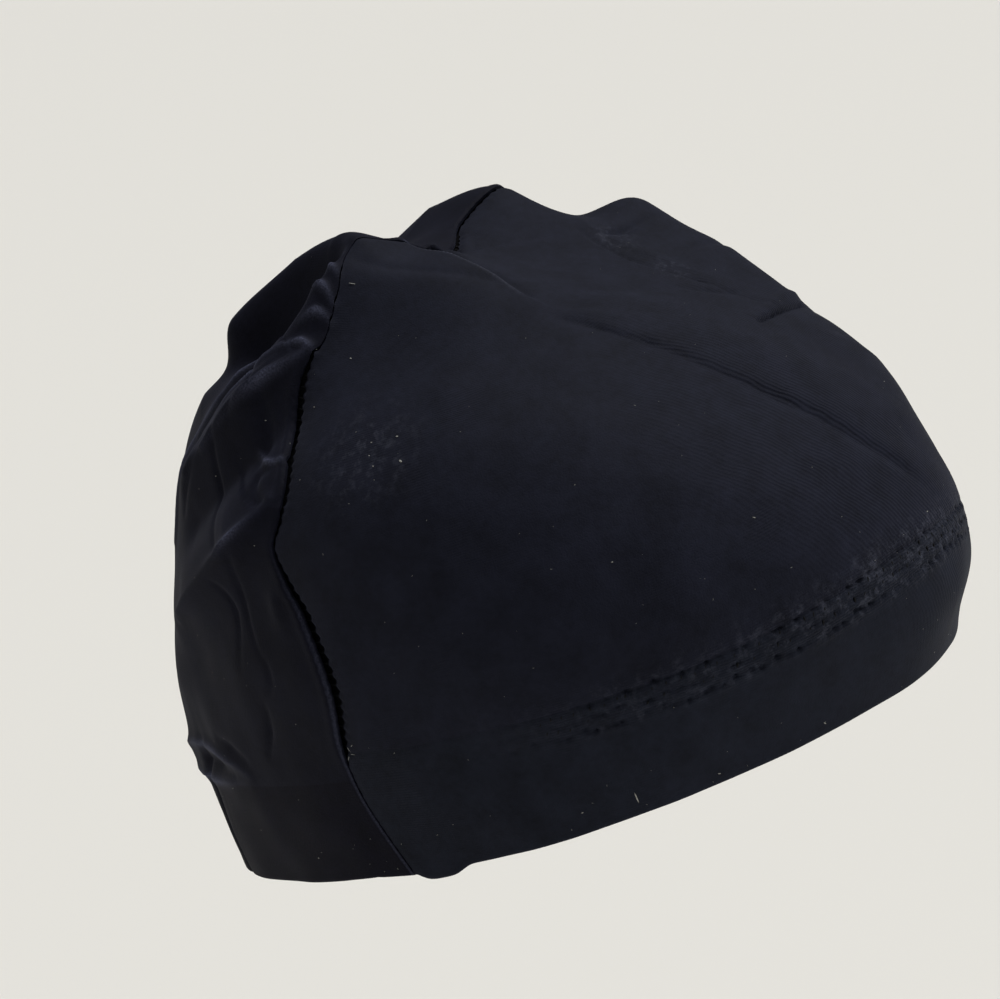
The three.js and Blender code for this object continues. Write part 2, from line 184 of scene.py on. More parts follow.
# The threads that bridge the seam's groove: their pitch, and the share of the groove's width by which
# they pull its two edges into scallops
THREAD_PITCH = 2.4
FRONT_SCALLOP, BACK_SCALLOP = 0.4, 0.12
# A thread's overlap on both panels beyond the groove's width, its thickness and how deep its middle lies
THREAD_OVERLAP, THREAD_WIDTH, THREAD_DEPTH = 1.2, 0.34, 1.7

# The cloth turned in behind the groove: its width each side, its thickness, how deep it lies, and the level
# at which it starts
SEAM_ALLOWANCE = 4.0
ALLOWANCE_WALL = 0.7
ALLOWANCE_DEPTH = 2.6
ALLOWANCE_START = 0.004

# The zigzag of stitches that holds the hem band, as three rows of needle holes: the heights of the rows
# from the band's top edge with the depth of their pits, the length of a stitch, the half length and half
# height of a pit, and the share of its depth at each angle from the front
STITCH_ROWS = ((0.0, 0.9), (-2.9, 0.55), (-5.7, 0.95))
STITCH_PITCH = 2.7
PIT_LENGTH, PIT_HEIGHT = 0.6, 0.5
PIT_ANGLES = (-90, -60, -10, 3, 20, 54, 61, 69, 90)
PIT_SHARES = (0.15, 0.6, 0.8, 0.9, 1.0, 1.0, 0.5, 0.15, 0.05)
# The share below which the threads are lost in the cloth, and the length and thickness of their bights
STITCH_SHOWS = 0.4
BIGHT_LENGTH, BIGHT_WIDTH = 1.3, 0.5

# The crease along a band's top edge, its depth and width, and how far a panel's foot is tucked behind it
EDGE_DIP, EDGE_WIDTH = 0.14, 1.2
FOOT_TUCK = 0.75
# How much thinner the cloth is at the seam, at a panel's foot and at the band's top, which covers the foot
SEAM_THINNING, FOOT_THINNING, TOP_THINNING = 0.5, 0.7, 1.1
# The radius of the fold at the hem, and how fast the wall thins round it
HEM_ROUND, HEM_THINNING = 0.9, 1.6

# Small swells and dips, each as its width and its height or depth. Beside the seam: the roll of the back
# cloth's edge, the turn of each cloth's edge into the seam, and the soft dip of the front cloth.
BACK_ROLL, BACK_TURN, FRONT_TURN, FRONT_DIP = (1.0, 0.3), (0.3, 0.7), (0.8, 0.8), (3.5, 0.45)
BACK_ROLL_PLACE = 1.1
# Beside the stitches: the swell along all the rows, the line that each row presses, and the puff of cloth
# after each pit, which lies a little along and below it and has this share of its depth
ROWS_SWELL, ROW_LINE, PIT_PUFF = (2.6, 0.25), (0.8, 0.12), (0.7, 0.3)
PUFF_ALONG, PUFF_BELOW = 1.4, 0.6
# At the nape: the puff above the band's top, the line and the hollow at the top, and the gathers' depth
# with the height over which they fade
NAPE_PUFF, NAPE_LINE, NAPE_HOLLOW = (4.5, 1.3), (0.5, 0.25), (7, 1)
NAPE_PUFF_PLACE, NAPE_LINE_PLACE = 6, -0.9
GATHER_DEPTH, GATHER_FADE = 0.8, 14


def through(rows, column, level, end_slope=None):
    """A smooth curve through the rows' values of one column."""
    xs = np.array([row.level for row in rows])
    ys = np.array([float(getattr(row, column)) for row in rows])
    slopes = np.empty(len(xs))
    slopes[1:-1] = (ys[2:] - ys[:-2]) / (xs[2:] - xs[:-2])
    slopes[0] = (ys[1] - ys[0]) / (xs[1] - xs[0])
    slopes[-1] = (ys[-1] - ys[-2]) / (xs[-1] - xs[-2]) if end_slope is None else end_slope
    i = np.clip(np.searchsorted(xs, level) - 1, 0, len(xs) - 2)
    span = xs[i + 1] - xs[i]
    t = (level - xs[i]) / span
    return (
        (2 * t**3 - 3 * t**2 + 1) * ys[i] + (t**3 - 2 * t**2 + t) * span * slopes[i]
        + (3 * t**2 - 2 * t**3) * ys[i + 1] + (t**3 - t**2) * span * slopes[i + 1]
    )


def dome(angle, level):
    """Points of the bare dome."""
    ahead = np.cos(angle) > 0
    side_z = through(RINGS, "side_z", level, 0)
    end_z = np.where(ahead, through(RINGS, "front_z", level, 0), through(RINGS, "back_z", level, 0))
    reach = np.where(ahead, through(RINGS, "front", level), through(RINGS, "back", level))
    share = np.abs(np.cos(angle)) ** np.where(ahead, FRONT_ARCH, 1)
    x = -through(RINGS, "half", level) * np.sin(angle)
    y = through(RINGS, "middle", level) - reach * np.cos(angle)
    return np.stack([x, y, side_z + (end_z - side_z) * share], -1)


def unit(vectors):
    return vectors / np.maximum(np.linalg.norm(vectors, axis=-1, keepdims=True), 1e-9)


def dome_outward(angle, level):
    """The way out of the bare dome, from places a small step apart."""
    angle_step, level_step = 0.012, 0.004
    inside = np.minimum(level, 1 - 2 * level_step)
    up = dome(angle, inside + level_step) - dome(angle, inside - level_step)
    along = dome(angle + angle_step, inside) - dome(angle - angle_step, inside)
    return unit(np.cross(up, along))


def fold_rise(fold, points, outward):
    """How far one fold lifts the dome at each point."""
    start, via, end = (dome(math.radians(angle), level) for angle, level in (fold.start, fold.via, fold.end))
    control = 2 * via - (start + end) / 2
    reach = 3 * max(fold.left, fold.right)
    middle = (start + end) / 2
    spread = max(np.linalg.norm(p - middle) for p in (start, via, control)) + reach
    rise = np.zeros(points.shape[:-1])
    near = np.linalg.norm(points - middle, axis=-1) < spread
    if not near.any():
        return rise
    here, facing = points[near], outward[near]

    def crest(t):
        t = t[..., None]
        return start * (1 - t) ** 2 + control * 2 * t * (1 - t) + end * t**2

    def slope(t):
        t = t[..., None]
        return 2 * (1 - t) * (control - start) + 2 * t * (end - control)

    guesses = np.linspace(0, 1, 9)
    distances = np.linalg.norm(here[:, None] - crest(guesses)[None], axis=-1)
    t = guesses[distances.argmin(1)]
    for _ in range(4):
        t = np.clip(t + ((here - crest(t)) * slope(t)).sum(-1) / (slope(t) ** 2).sum(-1), 0, 1)
    offset = here - crest(t)
    distance = np.linalg.norm(offset, axis=-1)
    across = np.cross(facing, unit(slope(t)))
    side = np.clip((offset * across).sum(-1) / np.maximum(distance, 1e-9), -1, 1)
    width = fold.right + (fold.left - fold.right) * (1 + side) / 2
    height = np.interp(t, (0, 0.5, 1), fold.rises)
    rise[near] = np.where(distance < reach, height * np.exp(-((distance / width) ** fold.power)), 0)
    return rise


def ripple(points, wavelength, height, seed):
    """A gentle unevenness of the cloth: a sum of plane waves in seeded directions."""
    draw = np.random.default_rng(seed)
    waves = 9
    directions = unit(draw.normal(size=(waves, 3)))
    lengths = wavelength * draw.uniform(0.7, 1.5, waves)
    phases = draw.uniform(0, 2 * math.pi, waves)
    swing = sum(
        np.sin(points @ directions[k] * 2 * math.pi / lengths[k] + phases[k]) for k in range(waves)
    )
    return height * swing / math.sqrt(waves / 2)


def cap(angle, level):
    """The cap's outer face with its folds and creases, before seams and stitches."""
    points = dome(angle, level)
    outward = dome_outward(angle, level)
    rise = sum(fold_rise(fold, points, outward) for fold in FOLDS + CREASES)
    rise += ripple(points, 34, 0.22, 5) + ripple(points, 13, 0.05, 8)
    return points + outward * rise[..., None]


def crest_highlight(angle, level):
    """How strongly a painted highlight lies along the crest of a sharp fold."""
    points, outward = dome(angle, level), dome_outward(angle, level)
    share = 0
    for fold in FOLDS + CREASES:
        if fold.name in HIGHLIGHTED_CRESTS:
            share = share + (fold_rise(fold, points, outward) / max(fold.rises)) ** 2
    return np.clip(share, 0, 1)


def seam_angle(level, side="right"):
    return np.radians(through(SEAM, side + "_angle", level))


def ring_radius(level):
    """Distance from a ring's middle to the seam, seen from above."""
    spoke = dome(seam_angle(level), level)
    return np.hypot(spoke[..., 0], spoke[..., 1] - through(RINGS, "middle", level))


def ease(low, high, x):
    """0 below low, 1 above high, and a smooth change between."""
    t = np.clip((x - low) / (high - low), 0, 1)
    return t * t * (3 - 2 * t)


def bell(x, width, height=1.0):
    return height * np.exp(-((x / width) ** 2))


def path_length(points):
    """Distance along each column of a grid of points, from its first row."""
    steps = np.linalg.norm(np.diff(points, axis=0), axis=-1)
    return np.concatenate([np.zeros_like(steps[:1]), np.cumsum(steps, 0)])


def grid_outward(points):
    """The way out of a grid of points whose rows climb and whose columns go round."""
    return unit(np.cross(np.gradient(points, axis=0), np.gradient(points, axis=1)))


# The way across the wales, level with the cloth of the forehead. They run along the long crease.
LONG_CREASE = next(crease for crease in CREASES if crease.name == "long crease")
wale_start, wale_end = (
    dome(math.radians(angle), level) for angle, level in (LONG_CREASE.start, LONG_CREASE.end)
)
forehead_outward = dome_outward(np.array(math.radians(4)), np.array(0.56))
ACROSS_WALES = unit(np.cross(wale_end - wale_start, forehead_outward))
CROWN = cap(np.array(0.0), np.array(1.0))

# The seam's line from the hem to the crown, and the distance along it
seam_levels = np.linspace(0, LAST_RING, 400)
seam_line = cap(seam_angle(seam_levels), seam_levels)
seam_distance = path_length(seam_line)


def groove(level, side):
    """Half the width of the groove on one side, "right" or "left", before the threads draw it in."""
    return np.interp(level, [place.level for place in SEAM], [getattr(place, side) for place in SEAM])


def groove_half(level, side, scallop):
    distance = np.interp(level, seam_levels, seam_distance)
    return groove(level, side) * (1 + scallop * np.cos(2 * math.pi * distance / THREAD_PITCH))


def front_edge(level, side):
    return seam_angle(level, side) - groove_half(level, side, FRONT_SCALLOP) / ring_radius(level)


def back_edge(level, side):
    return seam_angle(level, side) + groove_half(level, side, BACK_SCALLOP) / ring_radius(level)


def front_span(level):
    return -front_edge(level, "left"), front_edge(level, "right")


def back_span(level):
    return back_edge(level, "right"), 2 * math.pi - back_edge(level, "left")


# Distances in millimetres of the columns that crowd beside a seam, and of the rows that crowd beside a
# band's top and above the hem
BESIDE_SEAM = np.array([0, 0.1, 0.3, 0.6, 1.0, 1.5, 2.1, 2.8, 3.6])
BESIDE_BAND = np.array([-2.2, -1.4, -0.8, -0.45, -0.2, -0.08, -0.04, 0.15, 0.45, 0.9, 1.6])
BESIDE_HEM = np.array([0, 0.1, 0.3, 0.6, 1.0, 1.5])


def columns_between(levels, span, count, lean):
    """Angles of a piece's columns at each level, crowded beside the seam. A positive lean crowds the
    columns towards the end of the span, a negative one towards its start."""
    start, end = span(levels)
    turn = BESIDE_SEAM / np.maximum(ring_radius(levels), 2 * BESIDE_SEAM[-1])[:, None]
    near, far = start[:, None] + turn, end[:, None] - turn[:, ::-1]
    share = np.linspace(0, 1, count)[None, 1:-1]
    share = share + lean * share * (1 - share)
    return np.concatenate([near, near[:, -1:] * (1 - share) + far[:, :1] * share, far], 1)


def rows_between(low, high, count):
    """Levels at even distances up the side of the cap."""
    fine = np.linspace(low, high, 500)
    length = path_length(dome(np.full(fine.shape, math.pi / 3), fine))
    return np.interp(np.linspace(0, length[-1], count), length, fine)


def level_for(length):
    """The level that a short length up the side takes."""
    low, high = 0.1, 0.3
    return length * (high - low) / np.linalg.norm(dome(math.pi / 2, high) - dome(math.pi / 2, low))


def band_top(angle):
    """The top of the front band, which peaks over the middle of the forehead."""
    return BAND_TOP_AT_SIDE + (BAND_TOP_IN_FRONT - BAND_TOP_AT_SIDE) * np.cos(angle) ** BAND_PEAK


def nape_top(angle):
    return NAPE_BAND_LEVEL + 0 * angle


def from_front(angle):
    """Degrees from the middle of the forehead, to either side."""
    return 180 - np.abs(180 - np.abs(np.degrees(angle)))


def front(angle):
    """1 ahead of the ears and 0 behind them."""
    return np.where(np.cos(angle) > 0, 1.0, 0.0)


def front_crease(angle):
    """How sharply the front band's top edge shows: it fades towards the ears."""
    return 1 - 0.75 * ease(50, 64, from_front(angle))


def nape_crease(angle):
    """How sharply the nape band's top edge shows, and how strongly the nape gathers."""
    return ease(124, 150, from_front(angle))


def seam_relief(from_seam, level, angle, behind):
    """How the cloth turns in at the seam, with the back panel's edge rolled over it."""
    half = np.where(np.sin(angle) > 0, groove(level, "right"), groove(level, "left"))
    pull = 0.2 + 0.8 * ease(0.1, 0.8, half)
    distance = np.interp(level, seam_levels, seam_distance)
    gathers = 1 + 0.14 * np.cos(2 * math.pi * distance / THREAD_PITCH)
    if behind:
        roll = bell(from_seam - BACK_ROLL_PLACE, *BACK_ROLL) * (1 - 0.8 * ease(0.80, 0.88, level))
        return pull * (roll * gathers - bell(from_seam, *BACK_TURN))
    return -pull * (bell(from_seam, *FRONT_TURN) + bell(from_seam, *FRONT_DIP))


# Distance round the top of the front band from the middle of the forehead
band_angles = np.radians(np.linspace(-100, 100, 401))
band_distance = path_length(dome(band_angles, band_top(band_angles)))
band_distance -= band_distance[len(band_angles) // 2]


def needle_holes():
    """For each row of stitches its height and depth, and for each hole the place along the band in
    stitches, how far it strays up or down, and its share of the depth."""
    draw = np.random.default_rng(21)
    last = int(band_distance[-1] / STITCH_PITCH) + 2
    rows = []
    for order, (height, depth) in enumerate(STITCH_ROWS):
        places = np.arange(-last, last + 1) + order / 2 + draw.uniform(-0.3, 0.3, 2 * last + 1)
        strays = draw.uniform(-0.6, 0.6, 2 * last + 1)
        rows.append((height, depth, places, strays, draw.uniform(0.1, 1.2, 2 * last + 1)))
    return last, rows


last_hole, hole_rows = needle_holes()


def edge_highlight(from_seam, level, behind):
    """A painted highlight on the very edge of the back cloth beside the lower part of the seam, where its
    rolled edge catches the light.
    """
    return 0.4 * bell(from_seam - 0.2, 0.2) * (1 - ease(0.4, 0.55, level)) if behind else 0 * from_seam


def stitched_share(angle):
    """How strongly the stitches show at an angle."""
    return np.interp(np.degrees(angle), PIT_ANGLES, PIT_SHARES)


def pressed_share(angle):
    """How clearly the needle has drawn up the courses: most of all over the middle of the forehead."""
    return stitched_share(angle) * (0.3 + 0.7 * bell(np.degrees(angle) - 5, 25)) * front(angle)


def stitch_relief(angle, height):
    """Pits of the stitches beside the front band's top, and the puffs of cloth between them."""
    along = np.interp(angle, band_angles, band_distance)
    relief = bell(height - STITCH_ROWS[1][0], *ROWS_SWELL)
    for row, depth, places, strays, shares in hole_rows:
        nearest = np.rint(along / STITCH_PITCH).astype(int) + last_hole
        relief = relief - bell(height - row, *ROW_LINE)
        for k in (nearest - 2, nearest - 1, nearest, nearest + 1):
            past = along - places[k] * STITCH_PITCH
            over = height - row - strays[k]
            puff = bell(past - PUFF_ALONG, *PIT_PUFF) * bell(over + PUFF_BELOW, PIT_PUFF[0])
            relief += depth * shares[k] * (puff - bell(past, PIT_LENGTH) * bell(over, PIT_HEIGHT))
    return relief * stitched_share(angle)


def nape_gathers(angle):
    return GATHER_DEPTH * nape_crease(angle) * np.sin(angle * 60 + 2.5 * np.sin(angle * 17))


def front_relief(angle, level, from_seam, height):
    return seam_relief(from_seam, level, angle, False) + stitch_relief(angle, height)


def back_relief(angle, level, from_seam, height):
    puff = nape_crease(angle) * bell(height - NAPE_PUFF_PLACE, *NAPE_PUFF)
    fading = np.exp(-np.clip(height, 0, None) / GATHER_FADE)
    return seam_relief(from_seam, level, angle, True) + puff + fading * nape_gathers(angle)


def nape_relief(angle, level, from_seam, height):
    line = bell(height - NAPE_LINE_PLACE, *NAPE_LINE)
    drawn_in = nape_crease(angle) * (line + bell(height, *NAPE_HOLLOW))
    gathers = ease(0, 8, height + 24) * nape_gathers(angle)
    return seam_relief(from_seam, level, angle, True) - drawn_in + gathers


def closed_wall(name, outer, inner, lay, marks, tip=None):
    """One closed piece of cloth from the grids of its two faces. The inner face, which is hidden, takes
    every second row and column. lay is where each point lies in the knit: how far round and how far up,
    in millimetres. marks are the outer face's attributes, and tip is the crown's place on both faces."""
    inner = inner[::2, ::2]
    outer_places = np.arange(outer[..., 0].size).reshape(outer.shape[:2])
    inner_places = np.arange(inner[..., 0].size).reshape(inner.shape[:2]) + outer_places.size
    crown = outer_places.size + inner_places.size

    def quads(places):
        corners = places[:-1, :-1], places[1:, :-1], places[1:, 1:], places[:-1, 1:]
        return np.stack(corners, -1).reshape(-1, 4)

    def rim(places):
        """The edge of a grid, down its first column, along its foot, up its last column and back."""
        edge = [*places[::-1, 0], *places[0, 1:], *places[1:, -1]]
        return edge + [*places[-1, -2::-1]] if tip is None else edge

    faces = quads(outer_places).tolist() + quads(inner_places)[:, ::-1].tolist()
    outer_rim, inner_rim = rim(outer_places), rim(inner_places)
    for k in range(len(inner_rim) - 1):
        faces.append((*outer_rim[2 * k:2 * k + 3], inner_rim[k + 1], inner_rim[k]))
    points = [outer.reshape(-1, 3), inner.reshape(-1, 3)]
    if tip is not None:
        points.append(tip)
        faces.append((outer_rim[-1], crown, crown + 1, inner_rim[-1]))
        faces.append((crown, outer_rim[0], inner_rim[0], crown + 1))
        outer_last, inner_last = outer_places[-1], inner_places[-1]
        faces += [(here, crown, ahead) for here, ahead in zip(outer_last[:-1], outer_last[1:])]
        faces += [(ahead, crown + 1, here) for here, ahead in zip(inner_last[:-1], inner_last[1:])]
    corners = np.concatenate(points)
    lay = np.concatenate([lay.reshape(-1, 2), lay[::2, ::2].reshape(-1, 2)])
    lay = np.concatenate([lay, np.repeat([[0.0, lay[:, 1].max()]], len(corners) - len(lay), 0)])
    for mark, values in marks.items():
        marks[mark] = np.concatenate([values.ravel(), np.zeros(len(corners) - values.size)])
    return cloth_piece(name, corners, faces, lay, marks)


def placed(name, data):
    """A new object in the scene."""
    made = bpy.data.objects.new(name, data)
    bpy.context.scene.collection.objects.link(made)
    return made


def cloth_piece(name, corners, faces, lay, marks):
    """An object of cloth with the knit's lay as its UV map. Its corners are in millimetres."""
    mesh = bpy.data.meshes.new(name)
    mesh.from_pydata((corners * MM).tolist(), [], [[int(corner) for corner in face] for face in faces])
    mesh.shade_smooth()
    mesh.set_sharp_from_angle(angle=math.radians(50))
    for mark, values in marks.items():
        mesh.attributes.new(mark, "FLOAT", "POINT").data.foreach_set("value", values)
    order = np.empty(len(mesh.loops), np.int32)
    mesh.loops.foreach_get("vertex_index", order)
    mesh.uv_layers.new(name=LAY).data.foreach_set("uv", lay[order].ravel())
    return placed(name, mesh)


def smooth_cloth(angle, level, levels, span):
    """The cloth before its relief, the way out of it, and each point's distance from the seam."""
    points = cap(angle, level)
    start, end = span(levels)
    from_seam = np.minimum(angle - start[:, None], end[:, None] - angle) * ring_radius(levels)[:, None]
    return points, grid_outward(points), from_seam


def panel(name, behind, span, foot, crease, columns, rows, lean, relief):
    """A cloth panel, ahead of the seam or behind it, from above a hem band to the crown. Its foot is
    tucked under the band. crease is how sharply the band's edge shows, and relief is its small shape."""
    nominal = float(foot(math.pi / 2))
    climb = rows_between(nominal + level_for(BESIDE_BAND[-1]), LAST_RING, rows)
    levels = np.concatenate([nominal + level_for(BESIDE_BAND[:-1]), climb])
    angle = columns_between(levels, span, columns, lean)
    share = (levels - nominal) / (LAST_RING - nominal)
    level = levels[:, None] + (foot(angle) - nominal) * (1 - share[:, None])
    points, outward, from_seam = smooth_cloth(angle, level, levels, span)
    height = path_length(points)
    top_row = np.searchsorted(BESIDE_BAND, 0)
    height = height - height[top_row] + BESIDE_BAND[top_row]
    dip = EDGE_DIP * crease(angle) * np.clip(1 - height / EDGE_WIDTH, 0, 1) ** 2
    tuck = dip + FOOT_TUCK * ease(0.08, 0.7, -height)
    outer = points + outward * (relief(angle, level, from_seam, height) - tuck)[..., None]
    wall = PANEL_WALL - FOOT_THINNING * ease(-1.5, 3, -height) - SEAM_THINNING * bell(from_seam, 0.3)
    inner = outer - outward * wall[..., None]
    crown = CROWN + (0, SEAM[-1].right if behind else -SEAM[-1].right, 0)
    crown[2] += relief(np.array(0.0), np.array(1.0), np.array(0.0), height.max())
    pressed = bell(np.maximum(height, 0), 4) * pressed_share(angle)
    # Marks: the courses pressed by the stitches, and the painted highlight over crests and along the back
    # cloth's edge by the seam
    marks = {STITCHED: pressed, PAINTED_HIGHLIGHT: crest_highlight(angle, level) + edge_highlight(from_seam, level, behind)}
    lay = np.stack([points @ ACROSS_WALES, height], -1)
    return closed_wall(name, outer, inner, lay, marks, np.array([crown, crown - (0, 0, PANEL_WALL)]))


def band(name, behind, span, top, crease, columns, rows, lean, relief):
    """A hem band, folded round at the hem and thin where the panel's foot lies behind it."""
    nominal = float(top(math.pi / 2))
    beside_hem = level_for(BESIDE_HEM)
    beside_top = nominal - level_for(0.05 + BESIDE_HEM)[::-1]
    climb = np.linspace(beside_hem[-1], beside_top[0], rows)[1:-1]
    levels = np.concatenate([beside_hem, climb, beside_top])
    angle = columns_between(levels, span, columns, lean)
    level = levels[:, None] * top(angle) / nominal
    points, outward, from_seam = smooth_cloth(angle, level, levels, span)
    height = path_length(points)
    from_top = height - height[-1]
    fold = HEM_ROUND * (1 - np.sqrt(1 - np.clip(1 - height / HEM_ROUND, 0, 1) ** 2))
    rounded = fold + EDGE_DIP * crease(angle) * np.clip(1 + from_top / EDGE_WIDTH, 0, 1) ** 2
    outer = points + outward * (relief(angle, level, from_seam, from_top) - rounded)[..., None]
    wall = BAND_WALL - TOP_THINNING * ease(-6, -3.5, from_top) - HEM_THINNING * fold
    inner = outer - outward * (wall - SEAM_THINNING * bell(from_seam, 0.3))[..., None]
    tab = np.exp(-(((np.degrees(angle) - TAB_ANGLE) / TAB_WIDTH) ** 4))
    for face in (outer, inner):
        face[..., 2] -= TAB_DROP * tab * (1 - ease(0, 3, height))
    pressed = bell(np.minimum(from_top - STITCH_ROWS[-1][0], 0), 1.8) * pressed_share(angle)
    # Marks: the courses pressed by the stitches, and the painted highlight over crests and along the back
    # cloth's edge by the seam
    marks = {STITCHED: pressed, PAINTED_HIGHLIGHT: crest_highlight(angle, level) + edge_highlight(from_seam, level, behind)}
    return closed_wall(name, outer, inner, np.stack([points @ ACROSS_WALES, from_top], -1), marks)


def turned_in_cloth(name):
    """The panels' seam allowance, one strip behind the groove from hem to hem over the crown."""
    offsets = np.linspace(-1, 1, 7)
    climb = rows_between(ALLOWANCE_START, LAST_RING, 150)
    halves = []
    for turn, side in ((1, "right"), (-1, "left")):
        reach = np.minimum(SEAM_ALLOWANCE / ring_radius(climb), 0.55)[:, None] * offsets
        angle, level = turn * (seam_angle(climb, side)[:, None] + reach), climb[:, None] + 0 * reach
        halves.append((cap(angle, level), dome_outward(angle, level)))
    crown = CROWN + offsets[:, None] * (0, 1, 0)
    above = np.zeros(crown.shape) + (0, 0, 1)
    points = np.concatenate([halves[0][0], crown[None], halves[1][0][::-1]])
    outward = np.concatenate([halves[0][1], above[None], halves[1][1][::-1]])
    outer = points - outward * ALLOWANCE_DEPTH
    inner = outer - outward * ALLOWANCE_WALL
    lay = np.stack([path_length(outer), offsets * SEAM_ALLOWANCE + 0 * path_length(outer)], -1)
    return closed_wall(name, outer, inner, lay, {})


def linear(code):
    """An sRGB hex colour as linear colour."""
    channels = [int(code[i:i + 2], 16) / 255 for i in (1, 3, 5)]
    return tuple(c / 12.92 if c <= 0.04045 else ((c + 0.055) / 1.055) ** 2.4 for c in channels) + (1.0,)


def add_node(tree, kind, inputs=(), **settings):
    """Adds a node. Each input is a value, a socket to link from, or a node whose first output is linked."""
    made = tree.nodes.new(kind)
    for setting, value in settings.items():
        setattr(made, setting, value)
    for socket, value in dict(inputs).items():
        if isinstance(value, bpy.types.Node):
            value = value.outputs[0]
        if isinstance(value, bpy.types.NodeSocket):
            tree.links.new(value, made.inputs[socket])
        else:
            made.inputs[socket].default_value = value
    return made


def worked_out(tree, operation, *values):
    """A math node over the values."""
    return add_node(tree, "ShaderNodeMath", dict(enumerate(values)), operation=operation)


def ranged(tree, value, low, high, first, last):
    """Runs from first to last as the value runs from low to high."""
    return add_node(tree, "ShaderNodeMapRange", {0: value, 1: low, 2: high, 3: first, 4: last})


def noise(tree, place, patch, detail, roughness=0.5):
    """Soft noise with patches of a size, in the units of place."""
    return add_node(tree, "ShaderNodeTexNoise", {
        "Vector": place, "Scale": 1 / patch, "Detail": detail, "Roughness": roughness})


# Finishes. Courses run round the head beside the stitches, 0.58 mm apart. Wales climb from the band to
# the crown, 0.95 mm apart, and show where the cloth is drawn tightest, over the forehead.
COURSE_PITCH, WALE_PITCH = 0.58, 0.95
TIGHT_PLACE, TIGHT_RADIUS = (-8, 0.54), 0.062
KNIT_DEPTH = 0.04 * MM
# Scuffs, the last of them a painted highlight on the edge of a crease: their angle and level, radius in
# metres, and how pale they are
SCUFFS_AND_HIGHLIGHT = ((80, 0.652, 0.016, 0.13), (-36, 0.903, 0.009, 0.3), (-22, 0.845, 0.006, 0.2))


